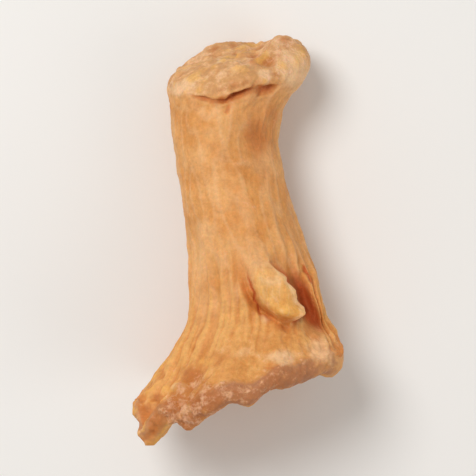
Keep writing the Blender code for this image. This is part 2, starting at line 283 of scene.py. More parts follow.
RED_AND_SHADE_SPOTS = [
    (3.0, 16.4, 2.6, 3.4, 0.8), (4.1, 15.9, 0.7, 0.7, 0.9), (1.4, 16.2, 0.7, 0.7, 0.7),
    (-2.4, 22.3, 2.8, 0.9, 0.8), (5.7, 19.6, 1.2, 4.0, 0.6), (7.3, -14.3, 1.7, 0.9, 0.8),
    (-12.8, -30.6, 2.2, 2.4, 0.9), (-13.0, -27.0, 1.6, 2.0, 0.4), (4.5, 3.0, 3.0, 6.0, 0.35),
    (4.1, 28.7, 2.2, 1.0, 1.3), (6.6, 29.4, 1.8, 0.8, 0.55), (-8.3, -21.2, 2.8, 1.3, 0.55),
    (-2.6, -18.8, 3.4, 1.1, 0.5), (3.4, -16.2, 2.4, 1.0, 0.4),
]
BLOTCH_WANDER = (0.8, 2.6, 15)
BLOTCHES_BEGIN = (3.0, 8.0)

# Frost: where it lies thick at the lower left and on the foot's knob, as place across and
# along and half widths, the heights between which the first begins, and where wear shows.
# The shares say how much lies in each place. The patches are lumps of size and seed.
LEFT_FROST = (-8.6, -26.4, 4.2, 4.0)
LEFT_FROST_BEGINS = (5.0, 14.0)
LEFT_FROST_SHARE = 0.44
KNOB_FROST = (7.0, 26.5, 4.5)
KNOB_FROST_SHARE = 0.4
FACE_FROST_SHARE = 0.26
WORN_FROST = (0.45, 0.70)
WORN_FROST_SHARE = 0.26
BAND_FROST_SHARE = 0.16
FROST_PATCHES = (6.0, 8)
FROST_PATCHES_BEGIN = (0.0, 0.45)
FROST_PATCHES_SHARE = 0.18

# ---------------------------------------------------------------- light

# Lights, as name, place and size, both as multiples of the mushroom's diagonal.
KEY_LIGHT = ("key light", (-2.3, 2.3, 5.5), 3.2)
FILL_LIGHT = ("fill light", (4.5, -2.5, 3.0), 4.5)
SKY_COLOUR = (1.0, 0.985, 0.96, 1.0)


def ease(low, high, value):
    """Rise smoothly from 0 at low to 1 at high."""
    share = np.clip((value - low) / (high - low), 0.0, 1.0)
    return share * share * (3.0 - 2.0 * share)


def hump(value, middle, half_width):
    """A bell of height 1 round the middle."""
    return np.exp(-((value - middle) / half_width) ** 2)


def ramp(value, limits):
    """Start at the first of four numbers and change by the second between the other two."""
    start, change, low, high = limits
    return start + change * ease(low, high, value)


def within(value, limits):
    """1 between the inner two of four limits, and smoothly 0 outside the outer two."""
    from_out, from_in, to_in, to_out = limits
    return ease(from_out, from_in, value) * ease(to_out, to_in, value)


def read_curve(points, place, period=None):
    """Read a smooth curve through (place, value) points, which may repeat after a period."""
    at = np.array([point[0] for point in points], dtype=float)
    value = np.array([point[1] for point in points], dtype=float)
    if period:
        at = np.concatenate((at[-2:] - period, at, at[:2] + period))
        value = np.concatenate((value[-2:], value, value[:2]))
        place = np.mod(place, period)
    slope = np.gradient(value, at)
    place = np.clip(place, at[0], at[-1])
    k = np.clip(np.searchsorted(at, place) - 1, 0, len(at) - 2)
    span = at[k + 1] - at[k]
    t = (place - at[k]) / span
    return (
        (1 + 2 * t) * (1 - t) ** 2 * value[k]
        + t * (1 - t) ** 2 * span * slope[k]
        + t * t * (3 - 2 * t) * value[k + 1]
        + t * t * (t - 1) * span * slope[k + 1]
    )


def lumps(points, size, seed):
    """Smooth noise between about -1 and 1, in lumps of the given size."""
    shift = Vector((seed * 17.3, seed * 5.9, seed * 11.1))
    return np.array([noise.noise(Vector(point) / size + shift) for point in points])


def add_lumps(value, points, layers):
    """Add layers of lumps, each given as height, size and seed, to a value."""
    for height, size, seed in layers:
        value = value + height * lumps(points, size, seed)
    return value


def ridges(points, stretch, size, sharpness, seed):
    """Ridges of height 1 between the lumps, stretched along the stem."""
    return 1.0 - sharpness * np.abs(lumps(points * (1.0, stretch, 1.0), size, seed))


def half_section(share):
    """Distance from the foot, radius and outward direction at a share of the half section."""
    points = np.array(HALF_SECTION)
    steps = np.hypot(*np.diff(points, axis=0).T)
    places = np.concatenate(((0.0,), np.cumsum(steps))) / steps.sum()
    distance_curve = list(zip(places, points[:, 0]))
    radius_curve = list(zip(places, points[:, 1]))
    distance = read_curve(distance_curve, share)
    radius = read_curve(radius_curve, share)
    after, before = share + SLOPE_STEP, share - SLOPE_STEP
    rise = read_curve(distance_curve, after) - read_curve(distance_curve, before)
    spread = read_curve(radius_curve, after) - read_curve(radius_curve, before)
    length = np.maximum(np.hypot(rise, spread), 1e-9)
    margin_share = places[len(FOOT_FACE + FOOT_LIP + STEM + UNDERSIDE)]
    return distance, radius, -spread / length, rise / length, share > margin_share


def arc_from(degrees, middle, radius):
    """Distance along the arc from a direction."""
    off = np.mod(degrees - middle + 180.0, 360.0) - 180.0
    return np.radians(off) * radius


def patch(degrees, distance, middle, half_widths):
    """A soft patch round a direction and a distance from the foot's tip."""
    turned = arc_from(degrees, middle[0], 180.0 / math.pi) / half_widths[0]
    moved = (distance - middle[1]) / half_widths[1]
    return hump(np.hypot(turned, moved), 0.0, 1.0)


def fold_relief(degrees, distance, radius):
    """Height of the forked folds, from 0 between them to 1 on a full crest."""
    draw = random.Random(FOLD_SEED)
    relief = np.zeros_like(distance)
    pitch = 360.0 / FOLD_COUNT
    for number in range(FOLD_COUNT):
        middle = (number + draw.uniform(-FOLD_JITTER, FOLD_JITTER)) * pitch
        start = draw.uniform(*FOLD_STARTS)
        fork = draw.uniform(*FOLD_FORKS)
        bend = draw.uniform(-FOLD_BEND, FOLD_BEND)
        strength = draw.uniform(*FOLD_STRENGTHS)
        half_width = draw.uniform(*FOLD_HALF_WIDTHS)
        opening = ease(fork, fork + FOLD_FORK_LENGTH, distance) * pitch / 4
        wander = bend * np.sin((distance - start) * FOLD_BEND_PACE)
        full = ease(start, start + FOLD_FULL_AFTER, distance)
        full = full * ease(FOLD_END, FOLD_END - FOLD_FADE, distance)
        for side in (-1, 1):
            across = arc_from(degrees, middle + wander + side * opening, radius)
            relief = np.maximum(relief, strength * full * hump(across, 0.0, half_width))
    return relief


def short_fold_relief(degrees, distance, radius):
    """Height of the short folds that start between the forks."""
    draw = random.Random(SHORT_FOLD_SEED)
    relief = np.zeros_like(distance)
    pitch = 360.0 / SHORT_FOLD_COUNT
    after_end, before_end = SHORT_FOLD_FADE
    for number in range(SHORT_FOLD_COUNT):
        middle = (number + draw.uniform(-SHORT_FOLD_JITTER, SHORT_FOLD_JITTER)) * pitch
        start = draw.uniform(*SHORT_FOLD_STARTS)
        lean = draw.uniform(-SHORT_FOLD_LEAN, SHORT_FOLD_LEAN)
        strength = draw.uniform(*SHORT_FOLD_STRENGTHS)
        full = ease(start, start + SHORT_FOLD_FULL_AFTER, distance)
        full = full * ease(FOLD_END + after_end, FOLD_END - before_end, distance)
        across = arc_from(degrees, middle + lean * (distance - start), radius)
        relief = np.maximum(relief, strength * full * hump(across, 0.0, SHORT_FOLD_HALF_WIDTH))
    return relief


def shape_foot(x, z, distance, on_face):
    """Tilt the cut foot and give its face its lobe, dent and swellings."""
    for across, height, half_width, out in FOOT_BUMPS:
        distance = distance - on_face * out * hump(np.hypot(x - across, z - height), 0.0, half_width)
    slanted = ease(FOOT_SLANT_END, 0.0, distance)
    return distance + slanted * (FOOT_SLANT_UP * z - FOOT_SLANT_LEFT * x)


def shape_flap(x, z, distance, upper, jag):
    """Raise the torn flap, lean it over to the right and sink the crevice beside it."""
    tooth, spacing = FLAP_TEETH
    crest = read_curve(FLAP_CREST, distance) + jag + tooth * np.sin(math.tau * distance / spacing)
    root = read_curve(FLAP_ROOT, distance)
    size = read_curve(FLAP_SIZE, distance) * upper
    slope = ease(root, root + FLAP_SLOPE, x)
    wall = ease(crest + FLAP_WALL, crest, x)
    lift = size * slope * wall
    groove = size * FLAP_GROOVE * hump(x, root, FLAP_GROOVE_HALF_WIDTH)
    crevice = read_curve(CREVICE_DEPTH, distance) * upper
    sunk = crevice * hump(x, read_curve(CREVICE, distance), CREVICE_HALF_WIDTH)
    past_wall = size * (1.0 - wall)
    rim, dark, shadow = (
        hump(x, crest + past, half_width) for past, half_width in (FLAP_RIM, CREVICE_SHADE, FLAP_SHADOW)
    )
    traits = {
        "flap": lift,
        "groove": groove,
        "rim": size * rim,
        # Painted shade: the crevice is coloured by its depth and just past the flap's wall, under its
        # overhang; the shadow is a painted shadow further in.
        "crevice": np.maximum(sunk / CREVICE_DEEPEST, past_wall * dark),
        "shadow": past_wall * shadow * ease(*FLAP_SHADOW_BEGINS, distance),
    }
    lean = FLAP_LEAN * lift ** 2 * ease(root + FLAP_LEAN_INSET, crest - FLAP_LEAN_INSET, x)
    return x + lean, z + FLAP_HEIGHT * lift - groove - sunk, traits


def crack_relief(x, distance, ends, half_width):
    """A narrow groove between two places on the upper side, from 0 to 1 at its bottom."""
    start, end = (np.array(point) for point in ends)
    run = end - start
    share = ((x - start[0]) * run[0] + (distance - start[1]) * run[1]) / run.dot(run)
    near = np.clip(share, 0.0, 1.0)
    gap = np.hypot(x - start[0] - near * run[0], distance - start[1] - near * run[1])
    opens, closes = ease(0.0, CRACK_ENDS, near), ease(1.0, 1.0 - CRACK_ENDS, near)
    return hump(gap, 0.0, half_width) * opens * closes


def sink_cracks(x, z, distance, upper, rough):
    """Sink the cracks into the upper side, and say how much painted shade each place in them gets,
    more where the crack is deeper.
    """
    height, size, seed = CRACK_WANDER
    wander = height * lumps(rough, size, seed)
    shade = np.zeros_like(x)
    for start, end, half_width, depth in CRACKS:
        crack = upper * crack_relief(x + wander, distance - wander, (start, end), half_width)
        z = z - depth * crack
        shade = np.maximum(shade, crack * min(1.0, CRACK_LEAST_SHADE + depth))
    return z, shade


def crease_relief(spot, fine):
    """The crease under the foot's lip, from 0 to 1 at its bottom, and its depth."""
    wrapped = np.mod(spot.degrees, 360.0)
    at, half_width, depth = CREASE
    for count, height, start in CREASE_WAVES:
        at = at + height * np.sin(np.radians(count * (spot.degrees - start)))
    strength = within(wrapped, CREASE_SPAN)
    if fine:
        at = add_lumps(at, spot.rough, CREASE_LUMPS)
        for shift, low, high in CREASE_SHIFTS:
            at = at + shift * ease(low, high, wrapped)
        half_width = half_width * ramp(wrapped, CREASE_WIDTH_SHARE)
        depth = depth * ramp(wrapped, CREASE_DEPTH_SHARE)
        patches = add_lumps(CREASE_STRENGTH, spot.rough, [CREASE_PATCHES])
        strength = within(wrapped, FINE_CREASE_SPAN) * patches
    return strength * hump(spot.distance, at, half_width), depth


def fine_relief(spot, fine, out):
    """Add the finer relief to the plain one, and say what each place is like."""
    rough, folds, crisp, under = spot.rough, spot.folds, spot.crisp, spot.under
    outside = ~spot.past_margin
    face = ease(*FACE_ENDS, spot.distance) * outside
    band = hump(spot.distance, *BAND) * ease(*BAND_BEGINS, spot.radius)
    top = spot.past_margin * ease(*TOP_ENDS, spot.radius)
    short = spot.clearing * short_fold_relief(spot.drifted, spot.distance, spot.wavy_radius) * outside
    fibres = ridges(rough, *FIBRES)
    veins = ridges(rough, *VEINS)
    wrinkles = np.maximum(ridges(rough, *WRINKLES), 0.0)
    pits = lumps(rough, *PITS)
    grit = lumps(rough, *GRIT)
    rayed = (RAYS_ROUND * spot.sideways, RAYS_ROUND * spot.upward, RAYS_OUTWARD * spot.radius)
    rays = lumps(np.column_stack(rayed), *RAYS)
    left_lobes = within(np.mod(spot.degrees, 360.0), LEFT_LOBES)
    ragged = band * (0.4 + left_lobes) + 0.6 * face + 0.8 * np.maximum(0.72 - crisp, 0.0)
    lobed = left_lobes * ease(*LOBES_BEGIN, spot.distance) * (1.0 - 0.7 * top)
    knots = (lobed + 0.55 * face) * lumps(rough, *KNOTS)
    valley = 1.0 - np.clip(folds + short, 0.0, 1.0)
    skin = spot.on_stem + 0.5 * under
    reliefs = (
        fine.short_fold_height * crisp * short * (1.0 - 0.6 * folds),
        fine.vein_height * under * valley * outside * np.maximum(veins, 0.0),
        fine.fibre_height * skin * (1.0 - top) * fibres,
        fine.wrinkle_height * skin * (1.0 - top) * wrinkles,
        fine.ray_height * top * ease(*RAYS_BEGIN, spot.radius) * rays,
        fine.knot_height * knots,
        fine.pit_depth * (1.0 + 1.6 * ragged) * pits,
        fine.grit_height * (0.6 + 1.6 * ragged + 0.6 * top) * grit,
    )
    for relief in reliefs:
        out = out + relief
    return out, {
        "fold": folds, "short_fold": short, "under": under * outside, "band": band, "top": top,
        "face": face, "wrinkle": wrinkles, "worn": 1.0 - crisp, "ray": rays, "knot": knots,
    }


def mushroom_surface(degrees, share, fine=None):
    """Places of the surface in metres, and what each is like, by angle and share.

    Without fine, it gives the plain form. fine holds the heights of the details.
    """
    distance, radius, out_along, out_across, past_margin = half_section(share)
    angle = np.radians(degrees)
    sideways, upward = np.cos(angle), np.sin(angle)

    # The wavy margin: full at the edge, gone at the stem and in the middle of the hollow.
    # spot.distance and spot.radius stay those of the round form.
    spot = SimpleNamespace(
        degrees=degrees, distance=distance, radius=radius, past_margin=past_margin,
        sideways=sideways, upward=upward,
    )
    spot.under = ease(MARGIN_STARTS, MARGIN_ENDS, distance)
    in_hollow = ease(*MARGIN_IN_HOLLOW, radius) ** MARGIN_IN_HOLLOW_POWER
    margin = np.where(past_margin, in_hollow, spot.under)
    reach = read_curve(MARGIN_REACH, degrees, 360.0)
    for count, height, start in MARGIN_WAVES:
        reach = reach + height * np.sin(np.radians(count * (degrees - start)))
    distance = distance + margin * reach
    radius = radius * (1.0 + margin * (read_curve(MARGIN_WIDTH, degrees, 360.0) - 1.0))

    # A stem that isn't quite round, and soft lumps all over.
    spot.on_stem = ease(*STEM_BEGINS, spot.distance) * (1.0 - margin)
    swell, corners, twist = STEM_CORNERS
    cornered = np.cos(corners * angle + spot.distance * twist)
    radius = radius * (1.0 + spot.on_stem * swell * cornered)
    spot.wavy_radius = radius
    rough = np.column_stack((radius * sideways, distance, radius * upward))
    spot.rough = rough
    out = add_lumps(0.0, rough, BODY_LUMPS)

    # Forked folds under the cap and down the stem, lower on the worn upper side, and
    # faded round the flap.
    spot.crisp = 1.0 - ease(*WORN_UPWARD, upward) * ramp(spot.distance, WORN_SHARE)
    spot.drifted = add_lumps(degrees, rough, FOLD_DRIFT)
    folds = np.where(past_margin, 0.0, fold_relief(spot.drifted, spot.distance, radius))
    *cleared, faded = FLAP_CLEARING
    spot.clearing = 1.0 - faded * patch(degrees, spot.distance, cleared[:2], cleared[2:])
    spot.folds = folds * spot.clearing
    fold_height = fine.fold_height if fine else PLAIN_FOLD_HEIGHT
    out = out + fold_height * spot.crisp * (spot.folds - FOLD_BED * spot.under)
    for *swollen, height in SWELLINGS:
        swelling = patch(degrees, spot.distance, swollen[:2], swollen[2:])
        out = out + height * ~past_margin * swelling

    crease, crease_depth = crease_relief(spot, fine)
    out = out - crease_depth * crease
    traits = {}
    if fine:
        out, traits = fine_relief(spot, fine, out)
        traits["crease"] = crease

    # Out of the round form: along the bent middle line, with the cut foot and the hollow.
    distance = distance + out * out_along
    radius = radius + out * out_across
    x = read_curve(MIDDLE_SIDEWAYS, distance) + radius * sideways
    z = radius * upward * read_curve(FLATNESS, distance)
    middle_height = read_curve(MIDDLE_HEIGHT, distance)
    distance = shape_foot(x, z, distance, ease(*FOOT_FACE_ENDS, spot.distance))
    z = z + middle_height
    upper = ease(*UPPER_SIDE, upward) * ~past_margin
    across, along, half_across, half_along, depth = STEM_HOLLOW
    hollow = upper * hump(x, across, half_across) * hump(distance, along, half_along)
    z = z - depth * hollow

    flat_x, jag = x, 0.0
    if fine:
        torn = np.column_stack((distance, np.zeros_like(x), FLAP_JAGS_ACROSS * x))
        jag = add_lumps(0.0, torn, FLAP_JAGS)
    x, z, flap_traits = shape_flap(x, z, distance, upper, jag)
    if fine:
        z, crack = sink_cracks(flat_x, z, distance, upper, rough)
        traits.update(flap_traits, crack=crack, hollow=hollow)
    return np.column_stack((x, FOOT_TIP - distance, z)) * MM, traits


def closed_grid(sides, rows):
    """Angle and share of each vertex of a closed skin, and its faces, with a point at each end."""
    turn, step = np.meshgrid(np.arange(sides), np.arange(1, rows))
    degrees = np.concatenate(((0.0,), (turn * 360.0 / sides).ravel(), (0.0,)))
    share = np.concatenate(((0.0,), (step / rows).ravel(), (1.0,)))
    here = turn + (step - 1) * sides + 1
    beside = (turn + 1) % sides + (step - 1) * sides + 1
    quads = np.stack((here[:-1], beside[:-1], beside[1:], here[1:]), axis=-1).reshape(-1, 4)
    last = len(share) - 1
    start_fan = [(0, beside[0][side], here[0][side]) for side in range(sides)]
    end_fan = [(last, here[-1][side], beside[-1][side]) for side in range(sides)]
    return degrees, share, quads.tolist() + start_fan + end_fan


def shift_onto_solid():
    """How far the form moves so that it lies where the solid does."""
    degrees, share = np.meshgrid(np.arange(0.0, 360.0, 2.0), np.linspace(0.004, 0.996, 180))
    points, _ = mushroom_surface(degrees.ravel(), share.ravel())
    low, high = points.min(axis=0), points.max(axis=0)
    solid_middle = (SOLID_LOW + SOLID_HIGH) / 2
    form_middle = (low + high) / 2
    return np.array((
        solid_middle.x - form_middle[0],
        solid_middle.y - form_middle[1],
        SOLID_HIGH.z - high[2],
    ))


def within_solid(points):
    """Keep the fine relief inside the solid's box, level where it meets the table."""
    return np.clip(points, np.array(SOLID_LOW), np.array(SOLID_HIGH))


def keep_traits(mesh, traits):
    """Store what each vertex is like, for the material to read."""
    for name, values in traits.items():
        layer = mesh.attributes.new(name, "FLOAT", "POINT")
        layer.data.foreach_set("value", np.asarray(values, dtype=np.float32))


# ---------------------------------------------------------------- materials

# How far red, green and blue light scatter in the flesh, its refraction and its shine.
SCATTER = (1.0, 0.42, 0.16)
FLESH_IOR = 1.40
FLESH_SHINE = 0.32
TABLE_ROUGHNESS = 0.75


class Wire:
    """An output socket that Python arithmetic can be done on: each operator adds a Math node."""

    def __init__(self, shader, socket):
        self.shader = shader
        self.socket = socket

    def maths(self, operation, *values):
        return self.shader.node("ShaderNodeMath", {"operation": operation}, dict(enumerate(values)))

    def __add__(self, other):
        return self.maths("ADD", self, other)

    __radd__ = __add__

    def __sub__(self, other):
        return self.maths("SUBTRACT", self, other)

    def __rsub__(self, other):
        return self.maths("SUBTRACT", other, self)

    def __mul__(self, other):
        return self.maths("MULTIPLY", self, other)

    __rmul__ = __mul__

    def __or__(self, other):
        """The larger of the two."""
        return self.maths("MAXIMUM", self, other)

    def broken_by(self, noise, amount):
        """This value with noise of so much added round it, which breaks up its edges."""
        return self + (noise - 0.5) * amount


class Shader:
    """A material and short ways to add nodes to it."""

    def __init__(self, name):
        self.material = bpy.data.materials.new(name)
        self.material.use_nodes = True
        self.tree = self.material.node_tree
        self.surface = self.tree.nodes["Principled BSDF"]

    def node(self, kind, settings=None, sockets=None, output=0):
        """Add a node: its settings first, then values or links for its sockets."""
        made = self.tree.nodes.new(kind)
        for name, value in (settings or {}).items():
            setattr(made, name, value)
        for key, value in (sockets or {}).items():
            self.feed(self.find(made.inputs, key), value)
        return Wire(self, self.find(made.outputs, output))

    @staticmethod
    def find(sockets, key):
        if isinstance(key, int):
            return sockets[key]
        named = next((socket for socket in sockets if socket.identifier == key), None)
        return named or sockets[key]

    def feed(self, socket, value):
        if isinstance(value, Wire):
            self.tree.links.new(value.socket, socket)
        elif socket.type == "RGBA":
            socket.default_value = (*value[:3], 1.0)
        else:
            socket.default_value = value

    def set(self, **values):
        """Set the surface's sockets, whose names are given with _ for each space."""
        for name, value in values.items():
            self.feed(self.surface.inputs[name.replace("_", " ")], value)

    def trait(self, name):
        """What a vertex is like, as stored in the mesh."""
        settings = {"attribute_type": "GEOMETRY", "attribute_name": name}
        return self.node("ShaderNodeAttribute", settings, output="Fac")

    def place(self, stretch=(1.0, 1.0, 1.0)):
        """Place on the object in metres, with each axis scaled."""
        here = self.node("ShaderNodeTexCoord", output="Object")
        return self.node("ShaderNodeVectorMath", {"operation": "MULTIPLY"}, {0: here, 1: stretch})

    def noise(self, place, size, detail=2.0, roughness=0.55, distortion=0.0):
        """Soft noise between 0 and 1 whose lumps are about size millimetres."""
        sockets = {
            "Vector": place, "Scale": 1.0 / (size * MM), "Detail": detail,
            "Roughness": roughness, "Distortion": distortion,
        }
        return self.node("ShaderNodeTexNoise", None, sockets)

    def step(self, value, low, high):
        """Go smoothly from 0 at low to 1 at high, where high may also be the lower one."""
        sockets = {0: value, 1: low, 2: high}
        if low > high:
            sockets = {0: value, 1: high, 2: low, 3: 1.0, 4: 0.0}
        return self.node("ShaderNodeMapRange", {"interpolation_type": "SMOOTHSTEP"}, sockets)

    def mix(self, base, top, share):
        """Blend one colour into another."""
        sockets = {"A_Color": base, "B_Color": top, "Factor_Float": share}
        return self.node("ShaderNodeMix", {"data_type": "RGBA"}, sockets, "Result_Color")

    def coats(self, base, *layers):
        """Blend colours in, each up to a share, where its mask goes from one limit to another."""
        for top, mask, start, full, share in layers:
            base = self.mix(base, top, self.step(mask, start, full) * share)
        return base

    def shade(self, colour, factor):
        """Multiply a colour by a number."""
        grey = self.node("ShaderNodeCombineXYZ", None, {0: factor, 1: factor, 2: factor})
        settings = {"data_type": "RGBA", "blend_type": "MULTIPLY"}
        sockets = {"A_Color": colour, "B_Color": grey, "Factor_Float": 1.0}
        return self.node("ShaderNodeMix", settings, sockets, "Result_Color")

    def bump(self, height, depth):
        """Relief of so many millimetres."""
        sockets = {"Height": height, "Distance": depth * MM, "Strength": 1.0}
        return self.node("ShaderNodeBump", None, sockets)


TRAITS = (
    "fold", "short_fold", "under", "band", "top", "face", "crease", "wrinkle", "worn", "ray", "knot",
    "flap", "groove", "rim", "crevice", "shadow", "crack", "hollow", "frost", "pale", "red",
)


def flesh_masks(flesh):
    """The noises and the traits of the mesh that say where each colour goes."""
    here, along = flesh.place(), flesh.place((1.0, 0.14, 1.0))
    masks = SimpleNamespace(**{name: flesh.trait(name) for name in TRAITS})
    masks.broad = flesh.noise(here, 11.0)
    masks.patch = flesh.noise(here, 4.5, 3.0, 0.6)
    masks.mottle = flesh.noise(here, 1.5, 4.0, 0.65)
    masks.grain = flesh.noise(here, 0.45, 3.0, 0.6)
    masks.streak = flesh.noise(along, 1.1, 4.0, 0.65, 0.3)
    masks.thread = flesh.noise(along, 0.32, 3.0, 0.6, 0.2)
    return masks


def stem_colour(flesh, look, on):
    """The stem: pale pinkish-tan patches on orange, lengthwise streaks and painted shade in its
    hollow.
    """
    pale = on.broad * 0.45 + on.patch * 0.35 + on.streak * 0.2
    colour = flesh.coats(
        look.stem_colour,
        (look.pale_colour, pale, 0.38, 0.62, 0.75),
        (look.deep_colour, on.streak, 0.60, 0.78, 0.55),
        (look.film_and_highlight_colour, on.wrinkle + (on.patch - 0.5), 0.30, 1.0, 0.22),
    )
    # Painted shade in the stem's hollow.
    return flesh.mix(colour, look.bruise_and_shade_colour, on.hollow * 0.45)


def underside_colour(flesh, look, on, colour):
    """Under the cap: red between the folds as painted shade, yellow on their crests, and even where
    worn.
    """
    crest = on.fold | (on.short_fold * 0.7)
    between = flesh.coats(look.valley_colour, (look.stem_colour, on.mottle, 0.35, 0.75, 0.45))
    on_crest = flesh.step(crest.broken_by(on.mottle, 0.5), 0.12, 0.75)
    folded = flesh.mix(between, look.crest_colour, on_crest)
    cloudy = flesh.step(on.patch * 0.5 + on.mottle * 0.5, 0.38, 0.62)
    even = flesh.mix(look.stem_colour, look.crest_colour, cloudy)
    folded = flesh.coats(folded, (even, on.worn, 0.25, 0.75, 0.8))
    return flesh.coats(colour, (folded, on.under + on.fold * 0.35, 0.15, 0.75, 0.85))


def cap_colour(flesh, look, on, colour):
    """The cap's upper side: egg-yolk orange, with darker bruised patches, paler scurf and painted
    shade in the hollows of its ripples.
    """
    cap = flesh.coats(
        look.cap_colour,
        (look.bruise_colour, on.patch * 0.6 + on.broad * 0.4, 0.50, 0.68, 0.45),
        # Painted shade in the hollows of the cap's ripples.
        (look.valley_colour, on.ray.broken_by(on.mottle, 0.6), 0.25, -0.35, 0.5),
        (look.crest_colour, on.mottle + on.ray * 0.3, 0.55, 0.75, 0.45),
        (look.film_and_highlight_colour, on.grain * 0.6 + on.mottle * 0.4, 0.56, 0.68, 0.35),
    )
    return flesh.mix(colour, cap, on.top)


def raw_colour(flesh, look, on, colour):
    """The margin and the cut foot are paler, and pinkish where they are raw."""
    raw = flesh.coats(look.raw_colour, (look.pale_colour, on.mottle, 0.50, 0.74, 0.5))
    cover = flesh.step(on.band.broken_by(on.mottle, 0.5), 0.14, 0.52)
    cover = cover * flesh.step(on.worn.broken_by(on.patch, 1.6), 0.05, 0.45)
    colour = flesh.mix(colour, raw, cover * (1.0 - (on.pale | on.red) * 0.8) * 0.9)
    cut = flesh.coats(
        look.cut_colour,
        (look.film_and_highlight_colour, on.patch * 0.6 + on.mottle * 0.4, 0.44, 0.60, 0.8),
        (look.bruise_and_shade_colour, on.patch * 0.5 + on.streak * 0.5, 0.50, 0.63, 0.50),
    )
    return flesh.mix(colour, cut, on.face * 0.92)


def blotch_colour(flesh, look, on, colour):
    """Blotches of pinkish film and painted highlight, of orange-red and painted shade, and knots that
    are pale with red between.
    """
    return flesh.coats(
        colour,
        (look.film_and_highlight_colour, on.pale.broken_by(on.mottle, 0.7), 0.20, 0.80, 0.75),
        (look.bruise_and_shade_colour, on.red.broken_by(on.mottle, 0.7), 0.20, 0.85, 0.8),
        (look.flap_colour, on.knot.broken_by(on.mottle, 0.4), 0.05, 0.35, 0.60),
        (look.film_and_highlight_colour, on.knot.broken_by(on.patch, 0.8), 0.30, 0.60, 0.45),
        (look.bruise_and_shade_colour, on.knot.broken_by(on.mottle, 0.3), -0.08, -0.40, 0.6),
    )


def torn_colour(flesh, look, on, colour):
    """The flap is yellow with a pinkish edge. Painted shade reddens its root, cracks and crevice, and
    a painted shadow darkens the crevice further; the crease is partly its own red and partly painted
    shade.
    """
    colour = flesh.coats(
        colour,
        (look.flap_colour, on.flap.broken_by(on.patch, 1.2), 0.45, 1.2, 0.6),
        (look.film_and_highlight_colour, on.rim.broken_by(on.mottle, 1.2), 0.40, 1.0, 0.5),
    )
    pale_streaks = on.flap * flesh.step(on.streak, 0.50, 0.66)
    deep_streaks = on.flap * flesh.step(on.streak, 0.46, 0.34)
    colour = flesh.mix(colour, look.film_and_highlight_colour, pale_streaks * 0.4)
    colour = flesh.mix(colour, look.valley_colour, deep_streaks * 0.3)
    # Painted shade in the groove along the flap's root.
    colour = flesh.mix(colour, look.valley_colour, on.groove * 0.8)
    colour = flesh.coats(
        colour,
        # Painted shade in deep red in the cracks.
        (look.crevice_shade_colour, on.crack, 0.10, 1.0, 0.85),
        # Painted shade in deep red in the crevice, stronger where deeper and under the flap's
        # overhang.
        (look.crevice_shade_colour, on.crevice.broken_by(on.mottle, 0.2), 0.15, 0.85, 0.95),
        # The crease: partly its own orange-red, partly painted shade in its groove.
        (look.bruise_and_shade_colour, on.crease, 0.04, 0.30, 0.7),
        (look.crevice_shade_colour, on.crease, 0.20, 0.85, 0.45),
    )
    # Painted shadow in the crevice under the flap.
    return flesh.shade(colour, 1.0 - flesh.step(on.shadow, 0.2, 0.9) * 0.36)


def flesh_material(look):
    """Orange-yellow flesh: pale crests, red valleys, pale cut foot, frosted ragged margin."""
    flesh = Shader("chanterelle flesh")
    on = flesh_masks(flesh)
    colour = stem_colour(flesh, look, on)
    for lay_over in (underside_colour, cap_colour, raw_colour, blotch_colour, torn_colour):
        colour = lay_over(flesh, look, on, colour)

    # Frost: a pinkish-white bloom in grains, and a mottle all over.
    colour = flesh.coats(colour, (look.bruise_and_shade_colour, on.frost - on.face, 0.25, 0.55, 0.62))
    bloom = (on.frost * 0.60).broken_by(on.patch, 0.9).broken_by(on.mottle, 1.8)
    grains = flesh.step(bloom.broken_by(on.grain, 0.9), 0.30, 0.74)
    colour = flesh.mix(colour, look.frost_colour, grains * 0.60)
    colour = flesh.shade(colour, 0.38 + on.patch * 0.26 + on.mottle * 0.46 + on.grain * 0.34)

    relief = on.thread * 0.35 * (1.0 - on.top) + on.grain * 0.4 + on.mottle * 0.25 + grains * 0.5
    rough = look.roughness + (on.mottle - 0.5) * 0.25 - grains * 0.12 + on.crevice * 0.1
    flesh.set(Base_Color=colour, Roughness=rough, Normal=flesh.bump(relief, look.bump_depth / MM))
    flesh.set(Subsurface_Weight=look.glow, Subsurface_Scale=look.glow_depth)
    flesh.set(Subsurface_Radius=SCATTER, IOR=FLESH_IOR, Specular_IOR_Level=FLESH_SHINE)
    return flesh.material


def plain_material(name, colour, roughness):
    """One even colour with the faintest mottling."""
    paint = Shader(name)
    cloud = paint.noise(paint.place(), 60.0, 2.0)
    paint.set(Base_Color=paint.shade(colour, 0.985 + cloud * 0.03), Roughness=roughness)
    return paint.material


# ---------------------------------------------------------------- what a user can change


def length(name, description, default):
    return FloatProperty(name=name, description=description, default=default, unit="LENGTH")


def power(name, description, default):
    return FloatProperty(name=name, description=description, default=default, unit="POWER")


def colour(name, description, default):
    return FloatVectorProperty(
        name=name, description=description, default=default, subtype="COLOR", min=0.0, max=1.0,
    )


